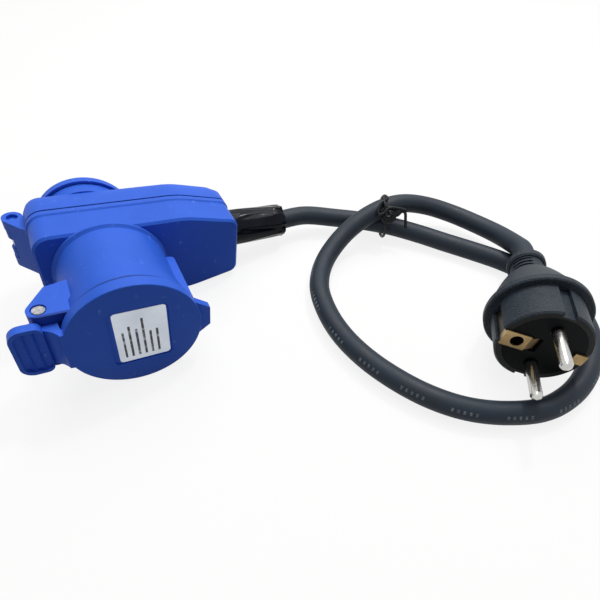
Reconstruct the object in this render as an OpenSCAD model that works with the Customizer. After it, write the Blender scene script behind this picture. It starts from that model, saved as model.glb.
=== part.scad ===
// Short adapter lead: a moulded plug, a round rubber cable and a blue two-half coupler box.
// The box has a round industrial socket with a spring lid in front and a household socket behind.
// It lies as it comes to rest, on the rim of its front lid and on the lower bend of the box.

/* [Coupler box] */
// Half height of the box
box_half_h = 21; // [20.9:0.1:23.5]
// From the socket axis to the hinge end of the box
box_left = 29; // [28.5:0.5:33]
// From the socket axis to the bend where the box starts to taper
box_bend = 35; // [33:0.5:40]
// From the socket axis to the cable end of the box
box_right = 59.5; // [57:0.5:68]
// Half height of the box at its cable end
end_half_h = 15.4; // [14:0.2:17]
// From the parting plane to the front face
front_depth = 18.4; // [18:0.1:23]
// From the parting plane to the back face
back_depth = 13.4; // [12.4:0.1:16]
// Wall of both halves
wall = 2.4; // [1.8:0.1:3]
// Radius of the corners at the hinge end
corner_r = 8; // [6:0.5:10]
// Radius of the corners at the cable end
end_corner_r = 5; // [3.2:0.2:6]
// Radius of the soft bend where the box starts to taper
bend_r = 40; // [20:1:60]
// Bevel round the front face
front_bevel = 1; // [0.6:0.1:3]
// Rounding of the back face's edge
back_round = 2.6; // [1.5:0.1:4]
// How far the back corner falls away at the cable end
back_sweep = 6; // [2:0.5:8]
// Height of the lip along the parting line
lip_h = 2.4; // [1.5:0.1:4]
// How far the lip stands out from the front half
lip_step = 0.6; // [0.2:0.1:1.2]
// Thickness of the seal between the halves
seal_h = 0.8; // [0.4:0.1:1.5]
// Width of the seal between the halves
seal_w = 1.6; // [1:0.1:2]

/* [Box screws] */
// Radius of the screw thread
screw_r = 1.5; // [1:0.1:2]
// Radius of the screw head
head_r = 2.8; // [2.2:0.1:3.2]
// Height of the screw head
head_h = 2; // [1.2:0.1:2.4]
// How deep the screw reaches into its boss
screw_grip = 9; // [5:0.5:12]
// Wall of the boss round the thread
boss_wall = 1.6; // [1:0.1:2]

/* [Industrial socket] */
// Wall of the collar
collar_wall = 2; // [1.4:0.1:2.4]
// Length of the collar in front of the box
collar_len = 40; // [37:0.5:48]
// Thickness of the collar's floor
collar_floor = 4; // [3:0.5:6]
// How far the bead round the foot stands out from the collar
foot_out = 1.1; // [0.5:0.1:2]
// Height of the bead round the collar's foot
foot_h = 2.2; // [1:0.1:4]
// How far the thicker band at the mouth stands out from the collar
band_out = 1; // [0.4:0.1:1.6]
// Height of the thicker band at the mouth
band_h = 10; // [6:0.5:14]
// Half width of the keyway's ridge
key_half_w = 7.5; // [5:0.5:9]
// How far the keyway's ridge stands out from the collar
key_out = 2; // [1.6:0.1:4]
// Length of the keyway's ridge
key_len = 29.5; // [20:0.5:32]
// Radius of the contact carrier
carrier_r = 16.4; // [16:0.1:16.8]
// How far the carrier's face lies inside the mouth
carrier_sink = 4.5; // [3:0.5:8]
// Radius of the circle that the contacts stand on
contact_pcr = 9.8; // [9.4:0.1:10.4]
// Bore radius of the line and neutral contacts
pole_bore_r = 2.55; // [2.4:0.05:2.8]
// Bore radius of the earth contact
earth_bore_r = 3.55; // [3.3:0.05:3.8]
// Wall of the contact sleeves
sleeve_wall = 1; // [0.7:0.1:1.2]
// Depth of the contact bores
contact_depth = 18; // [14:0.5:22]
// Widening of the contact holes towards the insert's face
lead_in = 0.4; // [0.2:0.1:0.8]
// Radius of the contacts' tails
tail_r = 1.6; // [1.2:0.1:2]

/* [Spring lid] */
// Radius of the lid
lid_r = 26; // [25.6:0.1:28]
// Thickness of the lid's disc
lid_t = 2.3; // [1.8:0.1:3]
// Rounding of the lid's edge
lid_edge_r = 1.4; // [0.5:0.1:1.6]
// How far the lid's skirt reaches over the mouth
skirt_over = 1.4; // [0.6:0.1:2]
// Wall of the lid's skirt
skirt_wall = 1.3; // [0.9:0.1:1.8]
// Gap between the skirt and the collar's band
skirt_gap = 0.7; // [0.4:0.1:1]
// Thickness of the lid's seal
lid_seal_h = 1; // [0.6:0.1:2]
// Width of the lid's seal
lid_seal_w = 2.6; // [1.5:0.1:3]
// Half width of the lid's nose at its tip
nose_half_w = 4.8; // [3:0.1:7]
// How far the nose stands out from the lid
nose_out = 4.4; // [2:0.1:6]
// Width of the label plate
label_w = 20.2; // [16:0.2:24]
// Height of the label plate
label_h = 27.4; // [20:0.2:30]
// Spare width of the label's recess beside the hinge
label_room = 1.3; // [0:0.1:3]
// Thickness of the label plate
label_t = 0.4; // [0.2:0.1:0.6]
// Sideways place of the label plate
label_x = 2.2; // [-2:0.2:4]
// Half height of the finger tab
tab_half_h = 11.7; // [10.5:0.1:13]
// Reach of the finger tab from the hinge pin
tab_reach = 12; // [11:0.5:16]
// Thickness of the finger tab
tab_t = 3.6; // [2.8:0.1:4.4]
// Corner radius of the finger tab
tab_corner_r = 5; // [3:0.5:6]
// Depth of the finger tab's flutes
scoop_depth = 1.3; // [0.8:0.1:2.2]
// Count of the ribs between the flutes
rib_count = 2; // [1:1:4]

/* [Household socket] */
// Place of the household socket along the box
cup_x = -3.5; // [-4:0.5:-1]
// Inner radius of the cup
cup_r = 19.3; // [19:0.1:19.4]
// Wall of the cup
cup_wall = 1.3; // [1:0.1:1.4]
// Depth of the cup
cup_depth = 16.6; // [16:0.1:17.2]
// Thickness of the cup's floor
cup_floor = 2.4; // [2.2:0.1:2.8]
// Radius of the rim behind the back face
rim_r = 20.7; // [20.6:0.1:21.2]
// Half distance between the two contacts
pin_half_gap = 9.5; // [9:0.1:10]
// Bore radius of the two contacts
pin_bore_r = 2.5; // [2.4:0.05:2.7]
// Depth of the two contacts' bores
pin_depth = 14; // [12:0.5:14.5]
// Width of the earth strap
strap_w = 6; // [4:0.5:8]
// Thickness of the earth strap
strap_t = 1; // [0.6:0.1:1.2]
// Length of the earth strap's arms inside the cup
strap_arm = 11; // [8:0.5:14]
// Radius of the household socket's lid
back_lid_r = 22.2; // [22:0.1:23]
// Thickness of that lid's disc
back_lid_t = 2.2; // [2:0.1:3]
// Thickness of that lid's seal
back_seal_h = 0.5; // [0.3:0.1:1]

/* [Hinges] */
// Radius of the front lid's pin
front_pin_r = 2.2; // [1.8:0.1:2.4]
// Radius of the collar's ears round the pin
ear_r = 4.2; // [3.8:0.1:4.4]
// Thickness of each ear
ear_t = 4; // [3:0.2:5]
// Length of the ears along the collar, from the pin
ear_len = 12; // [10:0.1:18]
// How far the ears' slanted edge comes in toward the collar
ear_lead = 3; // [2:0.1:7]
// How far the ears' back edge slants from there to the collar
ear_slant = 2.6; // [0:0.1:4]
// Half height of the space between the ears
ear_gap = 9.3; // [8:0.1:10]
// Half height of the space for a spring
spring_room = 4.2; // [3.6:0.1:5]
// Radius of the back lid's pin
back_pin_r = 1.9; // [1.5:0.1:2.2]
// Radius of the hinge block round the back pin
block_r = 4.2; // [3.8:0.1:4.6]
// Half height of the hinge block
block_half_h = 12; // [10.5:0.5:14]
// Half height of the space between the block's ears
block_gap = 7.2; // [6.4:0.1:8]
// Radius of the spring wire
wire_r = 0.45; // [0.3:0.05:0.5]
// Turns of each spring
spring_turns = 4; // [3:1:5]

/* [Cable entry] */
// Radius of the cable
cable_r = 5; // [4:0.1:5.1]
// Outer radius of the shrink sleeve
shrink_r = 9.2; // [7.6:0.1:9.6]
// Length of the shrink sleeve outside the box
shrink_len = 30; // [20:0.5:36]
// Depth of the ripples along the shrink sleeve
ripple = 0.35; // [0.1:0.05:0.6]
// Length of the cable clamp along the cable
clamp_len = 8; // [6:0.5:10]
// Half width of the cable clamp
clamp_half_w = 11; // [10:0.5:11.5]
// Height of the cable clamp over the cable's middle
clamp_h = 8; // [7:0.5:9]

/* [Plug] */
// Length of the plug from its neck end to its face
plug_len = 58; // [54:0.5:70]
// Radius of the plug's flange
flange_r = 21.8; // [21.2:0.1:22.2]
// Thickness of the flange's rim
flange_t = 3; // [2:0.1:4]
// Radius of the part that enters a socket
nose_r = 18.7; // [18.4:0.1:19]
// Length of the part that enters a socket
nose_len = 17; // [15:0.5:18]
// Radius of the neck
neck_r = 7.4; // [7:0.1:9]
// Radius of the ring at the neck's end
neck_ring_r = 8.8; // [8.4:0.1:10]
// Height of the ring at the neck's end
neck_ring_h = 4.4; // [3:0.1:5]
// Length of the neck
neck_len = 12; // [10:0.5:20]
// Count of the flex slots on each side of the neck
slot_count = 3; // [2:1:4]
// Depth of the flex slots
slot_depth = 1.8; // [1:0.1:2]
// Turn of the flex slots from the line of the pins, in degrees
slot_turn = 50; // [0:5:90]
// Radius of the hard insert in the plug's face
bridge_r = 15.6; // [15.2:0.1:16]
// Depth of the hard insert in the plug's face
bridge_depth = 15; // [14:0.5:16]
// Radius of the two pins
plug_pin_r = 2.4; // [2:0.05:2.5]
// Length of the two pins
plug_pin_len = 19; // [17:0.5:20]
// Step from a pin to its root in the bridge
pin_step = 0.3; // [0.2:0.1:0.6]
// Hole radius of the plug's earth contact
earth_hole_r = 2.6; // [2.4:0.05:2.8]
// Thickness of the plug's earth strips
strip_t = 0.8; // [0.5:0.1:1]
// Width of the guide grooves on the plug's sides
groove_w = 5; // [4:0.5:8]
// Depth of the guide grooves on the plug's sides
groove_depth = 2; // [1:0.1:2.2]

/* [Twist tie] */
// Radius of the coated wire
tie_r = 0.9; // [0.6:0.1:1]

/* [Clearances] */
// Gap round a seated piece
fit = 0.1; // [0.05:0.05:0.15]
// Running gap of a lid on its pin
run = 0.08; // [0.05:0.01:0.1]
// Gap between the three segments of the contact insert
split = 0.06; // [0.04:0.01:0.1]
// Gap between a lid and what it closes on
close_gap = 0.3; // [0.2:0.05:0.5]
// Side gap between a lid's lugs and its ears
side_gap = 0.3; // [0.2:0.05:0.5]

/* [Hidden] */
$fn = 48;
shell_blue = "#2f55c8";
eps = 0.01;
// Rounded corners stand this much proud of their straight sides, so that the two cross cleanly
round_lap = 0.002;

// Box outline, seen from the front, as lines moved inwards by an inset
taper = (box_half_h - end_half_h) / (box_right - box_bend);
taper_k = norm([1, taper]);
function outline_points(inset, short) =
    let (top = box_half_h - inset,
         bend = box_bend - inset * (taper_k - 1) / taper,
         right = box_right - inset - short,
         low = box_half_h - (right - box_bend) * taper - inset * taper_k,
         left = inset - box_left)
    concat([[left, -top]], soft_bend([left, -top], [bend, -top], [right, -low], bend_r - inset),
        [[right, -low], [right, low]], soft_bend([right, low], [bend, top], [left, top], bend_r - inset),
        [[left, top]]);
function outline_radii(inset) =
    let (a = max(corner_r - inset, 0.6), b = max(end_corner_r - inset, 0.6),
         plain = [for (i = [0 : bend_steps]) 0])
    concat([a], plain, [b, b], plain, [a]);

// Points of the arc that rounds corner b of an outline that runs round to the left
bend_steps = 6;
function soft_bend(a, b, c, r) =
    let (u = unit(a - b), v = unit(c - b), half = acos(u * v) / 2, o = b + unit(u + v) * r / sin(half),
         start = b + u * r / tan(half) - o, first = atan2(start.y, start.x), turn = 180 - 2 * half)
    [for (i = [0 : bend_steps]) o + r * [cos(first + turn * i / bend_steps), sin(first + turn * i / bend_steps)]];

// Rounded corner of a polygon: its tangent points and the centre of its arc
function unit(v) = v / norm(v);
function to_last(pts, i) = unit(pts[(i + len(pts) - 1) % len(pts)] - pts[i]);
function to_next(pts, i) = unit(pts[(i + 1) % len(pts)] - pts[i]);
function half_angle(pts, i) = acos(to_last(pts, i) * to_next(pts, i)) / 2;
function arc_ends(pts, i, r) =
    let (t = r / tan(half_angle(pts, i)))
    [pts[i] + to_last(pts, i) * t, pts[i] + to_next(pts, i) * t];
function arc_centre(pts, i, r) =
    pts[i] + unit(to_last(pts, i) + to_next(pts, i)) * r / sin(half_angle(pts, i));
// Where a line from p touches a circle round c; a negative r takes the circle's other side
function tangent_point(p, c, r) =
    let (d = c - p, a = atan2(d.y, d.x) + asin(r / norm(d)))
    c + r * [cos(a + 90), sin(a + 90)];

// Rest pose: the front lid's rim and the box's lower bend touch the floor
axis_h = lid_r;
bend_c = [box_bend - bend_r * tan(atan(taper) / 2), bend_r - box_half_h];
lean = atan2(bend_c.y, bend_c.x) + asin((axis_h - bend_r) / norm(bend_c));

// The collar's radii follow the lid that closes over it
skirt_in = lid_r - skirt_wall;
band_r = skirt_in - skirt_gap;
collar_r = band_r - band_out;
foot_r = collar_r + foot_out;

// Places along the depth, from the parting plane
mouth_y = front_depth + collar_len;
lid_back_y = mouth_y + close_gap + lid_seal_h;
lid_face_y = lid_back_y + lid_t;
carrier_face_y = mouth_y - carrier_sink;
contact_y = carrier_face_y - 3.4;
contact_end_y = front_depth - wall + 0.2;
cup_floor_y = seal_h + 0.2;
rim_y = cup_floor_y + cup_floor + cup_depth;
back_lid_y = rim_y + close_gap + back_seal_h;
back_face_y = back_lid_y + back_lid_t;
exit_y = (back_depth - front_depth) / 2;

// Hinge pins
front_pin_x = -(lid_r + ear_r - fit);
front_pin_y = -(mouth_y - 7.8);
ear_top = ear_gap + ear_t;
lug_r = ear_r - fit;
lug_half_h = ear_gap - side_gap;
back_pin_x = -(box_left + block_r + fit);
back_pin_y = back_depth - 0.8;
back_lug_r = block_r - 0.2;
back_lug_half_h = block_gap - side_gap;
back_room = 2.8;
tab_back_y = front_pin_y - ear_r - close_gap;
tab_left = front_pin_x - tab_reach;
tab_right = front_pin_x - 0.5;

// Cable entry
shrink_start = box_right - wall - 2;
shrink_end = box_right + shrink_len;
clamp_x = box_right - wall - back_sweep - 2.5 - clamp_len;
clamp_screw_z = (cable_r + clamp_half_w) / 2 + 0.4;
cable_start = clamp_x - 3;

// Screw places, as x and height
boss_r = screw_r + boss_wall;
left_screw = [-(box_left - wall - boss_r), box_half_h - wall - boss_r];
right_screw = [box_bend - 5.5, box_half_h - wall - boss_r - 0.8];
screw_places = [left_screw, right_screw, [left_screw.x, -left_screw.y], [right_screw.x, -right_screw.y]];

// Middle of the coupler's footprint, from the socket axis at the parting plane
foot_left = (tab_left + tab_corner_r) * cos(lean) - (tab_half_h - tab_corner_r) * sin(lean) - tab_corner_r;
foot_right = shrink_end * cos(lean) + (shrink_r - ripple) * sin(lean);
origin_x = (foot_left + foot_right) / 2;
origin_y = (back_face_y - lid_face_y) / 2;
function placed(p) = [
    p.x * cos(lean) + p.z * sin(lean) - origin_x,
    p.y - origin_y,
    axis_h - p.x * sin(lean) + p.z * cos(lean)];

// Cable route on the floor: one loop that passes under the plug's neck and over itself at the tie
floor_route = [
    [80, 16.6, 10.4], [95.5, 9.5, 8.4], [108.5, 1.5, 7.4], [120.5, -9, 7], [131.5, -20.5, 6], [141.5, -33, 5.2],
    [151, -46, 5.1], [159.5, -59, 5.1], [166, -73.5, 5.1], [168.5, -89.5, 5.1], [166, -105.5, 5.1], [157.5, -119.5, 5.1],
    [144.5, -129.5, 5.1], [129.5, -135, 5.1], [113.5, -135.5, 5.1], [98.5, -130, 5.1], [85, -121, 5.1], [74.5, -109, 5.1],
    [66.5, -94.5, 5.1], [61, -79, 5.1], [58.5, -63, 5.1], [59.5, -47, 5.1], [64, -31.5, 5.1], [74, -18, 5.8],
    [88, -9.5, 10], [102.5, -5.8, 14.6], [116.5, -5, 17.5], [130.5, -5.2, 16.4], [144, -9.5, 13.2],
    [155, -18.5, 10.4], [162.5, -31, 9.4], [165.8, -45, 10.8], [164.3, -58.5, 14.2], [161.4, -65.6, 16.6]];
neck_end = [154.5, -74.2, 17.8];
route = concat([placed([cable_start, exit_y, 0]), placed([box_right, exit_y, 0]),
    placed([shrink_end, exit_y, 0])], floor_route, [neck_end]);
plug_dir = unit(neck_end - floor_route[len(floor_route) - 1]);
plug_polar = acos(plug_dir.z);
plug_azimuth = atan2(plug_dir.y, plug_dir.x);
plug_roll = -11;

// Twist tie round the two strands where they cross
tie_middle = [117, -5.6, 12.3];
tie_heading = -19;
tie_half_w = 9.6;
tie_half_h = 11.4;
tie_shift = 2.4;

// Plug, from its neck end
flange_z = plug_len - nose_len - flange_t;
bridge_z = plug_len - bridge_depth;
groove_z = plug_len - nose_len;
pin_root_r = plug_pin_r + pin_step;
side_slot = 2.4;
leg_w = 5;
clip_reach = nose_r - 6.7;
earth_foot_w = 2 * earth_hole_r + 2.4;
earth_foot_end = 2;
tongue_len = 5;
tongue_w = earth_foot_w - 1.4;
tongue_drop = 2;

module in_box() {
    translate([-origin_x, -origin_y, axis_h])
        rotate([0, lean, 0])
            children();
}

module in_plug() {
    translate(neck_end)
        rotate([0, plug_polar, plug_azimuth])
            rotate([0, 0, plug_roll])
                children();
}

// Turn a shape so that its height runs to the front, or to the back, from a depth
module to_front(y) {
    translate([0, -y, 0])
        rotate([90, 0, 0])
            children();
}

module to_back(y) {
    translate([0, y, 0])
        rotate([-90, 0, 0])
            children();
}

module rounded_outline(pts, radii) {
    last = len(pts) - 1;
    polygon([for (i = [0 : last]) each radii[i] > 0 ? arc_ends(pts, i, radii[i]) : [pts[i]]]);
    for (i = [0 : last])
        if (radii[i] > 0)
            translate(arc_centre(pts, i, radii[i]))
                circle(r = radii[i] + round_lap);
}

module box_outline(inset, short = 0) {
    rounded_outline(outline_points(inset, short), outline_radii(inset));
}

module rounded_plate(w, h, r) {
    x = w / 2;
    y = h / 2;
    rounded_outline([[-x, -y], [x, -y], [x, y], [-x, y]], [r, r, r, r]);
}

// Upright solid from a plan shape, with equal heights over and under the socket axis
module upright(half_h) {
    translate([0, 0, -half_h])
        linear_extrude(2 * half_h)
            children();
}

// The same solid above and below the socket axis
module both_sides(low, high) {
    for (z = [low, -high])
        translate([0, 0, z])
            linear_extrude(high - low)
                children();
}

// Round tube along a list of points; ref is a direction that the path never follows
function path_dir(p, i) = unit(p[min(i + 1, len(p) - 1)] - p[max(i - 1, 0)]);
function ring(p, i, r, sides, ref) =
    let (t = path_dir(p, i), u = unit(cross(t, ref)), v = cross(u, t))
    [for (k = [0 : sides - 1]) p[i] + r * (cos(360 * k / sides) * u + sin(360 * k / sides) * v)];

module tube(p, r, sides, ref) {
    n = len(p);
    wall_faces = [for (i = [0 : n - 2]) for (k = [0 : sides - 1])
        let (a = i * sides + k, b = i * sides + (k + 1) % sides)
        each [[a, b, a + sides], [b, b + sides, a + sides]]];
    start_cap = [for (k = [sides - 1 : -1 : 0]) k];
    end_cap = [for (k = [0 : sides - 1]) (n - 1) * sides + k];
    polyhedron(
        points = [for (i = [0 : n - 1]) each ring(p, i, r, sides, ref)],
        faces = concat([start_cap], wall_faces, [end_cap]));
}

// Smooth curve through the points, with one more point halfway along each stretch
function halfway(p, i) =
    let (a = p[max(i - 1, 0)], b = p[i], c = p[i + 1], d = p[min(i + 2, len(p) - 1)])
    (9 * (b + c) - a - d) / 16;
function refined(p) = [for (i = [0 : len(p) - 1]) each i < len(p) - 1 ? [p[i], halfway(p, i)] : [p[i]]];

// Torsion spring on an upright pin: a leg, the turns and a second leg
spring_steps = 12;
function spring_path(coil_r, half_h, leg_a, leg_b) =
    let (count = spring_turns * spring_steps)
    concat(
        [[leg_a, coil_r, -half_h]],
        [for (i = [0 : count - spring_steps / 4])
            let (a = 90 + i * 360 / spring_steps)
            [coil_r * cos(a), coil_r * sin(a), half_h * (2 * i / count - 1)]],
        [[coil_r, leg_b, half_h * (1 - 1 / (2 * spring_turns))]]);

module front_shell() {
    color(shell_blue) in_box() difference() {
        union() {
            to_front(0)
                linear_extrude(lip_h)
                    box_outline(0);
            hull() {
                to_front(lip_h / 2)
                    linear_extrude(front_depth - front_bevel - lip_h / 2)
                        box_outline(lip_step, $fn = 32);
                to_front(front_depth - eps)
                    linear_extrude(eps)
                        box_outline(lip_step + front_bevel, $fn = 32);
            }
        }
        difference() {
            to_front(-eps)
                linear_extrude(front_depth - wall + eps)
                    box_outline(lip_step + wall);
            for (p = screw_places)
                translate([p.x, 0, p.y])
                    to_front(seal_h)
                        cylinder(r = boss_r, h = front_depth);
            translate([clamp_x, -front_depth, -clamp_half_w])
                cube([clamp_len, front_depth + exit_y - fit, 2 * clamp_half_w]);
        }
        for (p = screw_places)
            translate([p.x, 0, p.y])
                to_front(-eps)
                    cylinder(r = screw_r + fit, h = screw_grip + 1);
        for (z = [clamp_screw_z, -clamp_screw_z])
            translate([clamp_x + clamp_len / 2, 0, z])
                to_front(-exit_y - 1)
                    cylinder(r = screw_r + fit, h = screw_grip + 2);
        to_front(front_depth - wall - 1)
            cylinder(r = carrier_r + fit, h = wall + 2);
        translate([clamp_x - 1, exit_y, 0])
            rotate([0, 90, 0])
                cylinder(r = cable_r + fit, h = clamp_len + 2);
        sleeve_hole();
    }
}

// Opening in the box's end for the shrink sleeve
module sleeve_hole() {
    translate([shrink_start - fit, exit_y, 0])
        rotate([0, 90, 0])
            cylinder(r = shrink_r + fit, h = shrink_len);
}

// Plan of the back lid's hinge block, with its slanted front side
module block_plan() {
    pin = [back_pin_x, back_pin_y];
    heel = [-box_left, seal_h];
    polygon([[2 - box_left, seal_h], heel, tangent_point(heel, pin, block_r), pin + [0, block_r],
        [2 - box_left, back_depth - back_round]]);
    translate(pin)
        circle(r = block_r + round_lap);
}

module back_shell() {
    color(shell_blue) in_box() difference() {
        union() {
            hull() {
                to_back(seal_h)
                    linear_extrude(back_depth - seal_h - 2 * back_round)
                        box_outline(0, 0, $fn = 32);
                to_back(back_depth - back_round / 2)
                    linear_extrude(eps)
                        box_outline(back_round / 3, back_sweep / 2, $fn = 32);
                to_back(back_depth - eps)
                    linear_extrude(eps)
                        box_outline(back_round, back_sweep, $fn = 32);
            }
            translate([cup_x, 0, 0])
                to_back(back_depth - 1)
                    cylinder(r = rim_r, h = rim_y - back_depth + 1);
            upright(block_half_h)
                block_plan();
        }
        difference() {
            to_back(seal_h - eps)
                linear_extrude(back_depth - wall - seal_h)
                    box_outline(wall, back_sweep);
            translate([cup_x, 0, 0])
                to_back(0)
                    cylinder(r = cup_r + cup_wall, h = back_depth);
            for (p = screw_places)
                translate([p.x, 0, p.y])
                    to_back(0)
                        cylinder(r = boss_r + head_r - screw_r, h = back_depth);
        }
        translate([cup_x, 0, 0]) {
            to_back(cup_floor_y + cup_floor)
                cylinder(r = cup_r, h = cup_depth + 1);
            to_back(0)
                cylinder(r = cup_r - 0.5, h = cup_floor_y);
            for (z = [pin_half_gap, -pin_half_gap])
                translate([0, 0, z]) {
                    to_back(0)
                        cylinder(r = pin_bore_r + 0.5, h = 8);
                    to_back(0)
                        cylinder(r = pin_bore_r + sleeve_wall + fit, h = cup_floor_y + cup_floor / 2);
                }
            for (side = [1, -1])
                translate([side * (cup_r - 1.1 - strap_t / 2), cup_floor_y + cup_floor / 2, 0])
                    cube([strap_t + 0.8, 2 * cup_floor, strap_w + 0.6], center = true);
        }
        for (p = screw_places)
            translate([p.x, 0, p.y]) {
                to_back(0)
                    cylinder(r = screw_r + fit, h = back_depth + 1);
                to_back(back_depth - head_h - 1)
                    cylinder(r = head_r + fit, h = head_h + 2);
            }
        translate([clamp_x, exit_y, 0])
            rotate([0, 90, 0])
                cylinder(r = cable_r + fit, h = box_right - clamp_x);
        sleeve_hole();
        translate([back_pin_x, back_pin_y, 0]) {
            upright(block_gap)
                circle(r = block_r + 0.3);
            upright(block_half_h + 1)
                circle(r = back_pin_r + run);
            both_sides(block_half_h - 1.5, block_half_h + 1)
                circle(r = back_pin_r + 0.4);
        }
    }
}

module parting_seal() {
    color("#10142c") in_box() difference() {
        to_back(0)
            linear_extrude(seal_h)
                difference() {
                    box_outline(lip_step);
                    box_outline(lip_step + seal_w);
                }
        sleeve_hole();
    }
}

module screw(length) {
    cylinder(r = screw_r, h = length + eps);
    translate([0, 0, length])
        difference() {
            cylinder(r = head_r, h = head_h);
            translate([0, 0, head_h])
                for (turn = [0, 90])
                    rotate([0, 0, turn])
                        cube([2 * head_r - 2, 0.8, head_h], center = true);
        }
}

module shell_screws() {
    color("silver") in_box()
        for (p = screw_places)
            translate([p.x, 0, p.y])
                to_back(-screw_grip)
                    screw(screw_grip + back_depth - head_h - 1);
}

// Plan of the collar's ears: a round end at the pin and a slanted back edge
module ear_plan() {
    pin = [front_pin_x, front_pin_y];
    root_x = -collar_r + 8;
    knee = [front_pin_x + ear_lead, front_pin_y + ear_len];
    polygon([knee, [root_x, knee.y + ear_slant], [root_x, front_pin_y - ear_r], pin - [0, ear_r],
        tangent_point(knee, pin, -ear_r)]);
    translate(pin)
        circle(r = ear_r);
}

module collar_profile() {
    foot_c = 0.6;
    mouth_c = 0.5;
    hole_r = carrier_r - 2 + fit;
    bore_r = collar_r - collar_wall;
    polygon([[hole_r, 0], [foot_r - foot_c, 0], [foot_r, foot_c], [foot_r, foot_h - foot_c],
        [foot_r - foot_c, foot_h], [collar_r, foot_h + foot_c], [collar_r, collar_len - band_h - 1],
        [band_r, collar_len - band_h], [band_r, collar_len - mouth_c], [band_r - mouth_c, collar_len],
        [bore_r, collar_len], [bore_r, collar_floor], [hole_r, collar_floor]]);
}

module cee_collar() {
    bore_r = collar_r - collar_wall;
    key_end = mouth_y - skirt_over - 1;
    color(shell_blue) in_box() difference() {
        union() {
            to_front(front_depth)
                rotate_extrude()
                    collar_profile();
            difference() {
                union() {
                    both_sides(ear_gap, ear_top)
                        ear_plan();
                    upright(key_half_w)
                        rounded_outline([[collar_r - 4, -key_end], [collar_r + key_out, -key_end],
                            [collar_r + key_out, key_len - key_end], [collar_r - 4, key_len - key_end]],
                            [0, 0, key_out, 0]);
                }
                to_front(front_depth + collar_floor)
                    cylinder(r = bore_r, h = collar_len);
            }
        }
        translate([bore_r - 1, -mouth_y - 1, -key_half_w / 2])
            cube([1 + key_out - 0.6, key_len + 2, key_half_w]);
        translate([front_pin_x, front_pin_y, 0]) {
            upright(ear_top + 1)
                circle(r = front_pin_r + fit / 2);
            both_sides(ear_top - 0.8, ear_top + 1)
                circle(r = front_pin_r + 0.6);
        }
    }
}

// One of the three contact places in the carrier
module at_contact(angle) {
    translate([contact_pcr * cos(angle), 0, contact_pcr * sin(angle)])
        children();
}

module contact_hole(bore_r) {
    mouth = carrier_face_y - contact_y;
    to_front(contact_end_y - 5)
        cylinder(r = bore_r + sleeve_wall + fit, h = contact_y - contact_end_y + 5 + fit);
    to_front(contact_y - 1)
        cylinder(r1 = bore_r + 0.2, r2 = bore_r + 0.2 + lead_in * (mouth + 2) / mouth, h = mouth + 2);
}

module contact_carrier() {
    color("#1f2226") in_box() difference() {
        union() {
            to_front(front_depth + collar_floor)
                cylinder(r = carrier_r, h = carrier_face_y - front_depth - collar_floor);
            to_front(front_depth - wall)
                cylinder(r = carrier_r - 2, h = wall + collar_floor + 1);
        }
        at_contact(0) contact_hole(earth_bore_r);
        at_contact(120) contact_hole(pole_bore_r);
        at_contact(240) contact_hole(pole_bore_r);
        for (angle = [60, 180, 300])
            rotate([0, -angle, 0])
                translate([0, -mouth_y, -split / 2])
                    cube([carrier_r + 1, mouth_y, split]);
    }
}

// Turned contact: a sleeve open to the front, and a tail for the wire
module contact(bore_r) {
    body = contact_depth + 2;
    tail = contact_y - contact_end_y;
    to_back(-contact_y)
        rotate_extrude()
            polygon([[bore_r, 0], [bore_r + sleeve_wall, 0], [bore_r + sleeve_wall, body], [tail_r, body],
                [tail_r, tail], [0, tail], [0, contact_depth], [bore_r, contact_depth]]);
}

module line_contact() {
    color("gold") in_box() at_contact(120) contact(pole_bore_r);
}

module neutral_contact() {
    color("gold") in_box() at_contact(240) contact(pole_bore_r);
}

module earth_contact() {
    color("gold") in_box() at_contact(0) contact(earth_bore_r);
}

// Half section of a lid from its outer face: a disc with a round edge and a short skirt
module lid_profile(r, edge_r, disc_t, depth, skirt_in) {
    polygon([[0, 0], [r - edge_r, 0], [r, edge_r], [r, depth], [skirt_in, depth], [skirt_in, disc_t],
        [0, disc_t]]);
    intersection() {
        translate([r - edge_r, edge_r])
            circle(r = edge_r);
        square([r, edge_r + eps]);
    }
}

// Plan of the front lid's arm: from the lugs to the disc, hollowed by a round ramp
module lid_arm_plan() {
    ramp_r = 8.7;
    ramp_c = [front_pin_x - 3.5, -lid_face_y - 3.5];
    skirt_x = -(skirt_in + 0.2);
    difference() {
        polygon([[front_pin_x - lug_r, front_pin_y], [front_pin_x - lug_r, -lid_face_y],
            [lid_edge_r + 4 - lid_r, -lid_face_y], [lid_edge_r + 4 - lid_r, -lid_back_y],
            [skirt_x, -mouth_y], [front_pin_x + lug_r, front_pin_y]]);
        translate(ramp_c)
            circle(r = ramp_r);
    }
}

module tab_outline(inset) {
    r = tab_corner_r - inset;
    s = 3;
    low = tab_half_h - inset;
    left = tab_left + inset;
    rounded_outline([[left, -low], [tab_right, -low], [tab_right, low], [left, low]], [r, s, s, r]);
}

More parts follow.
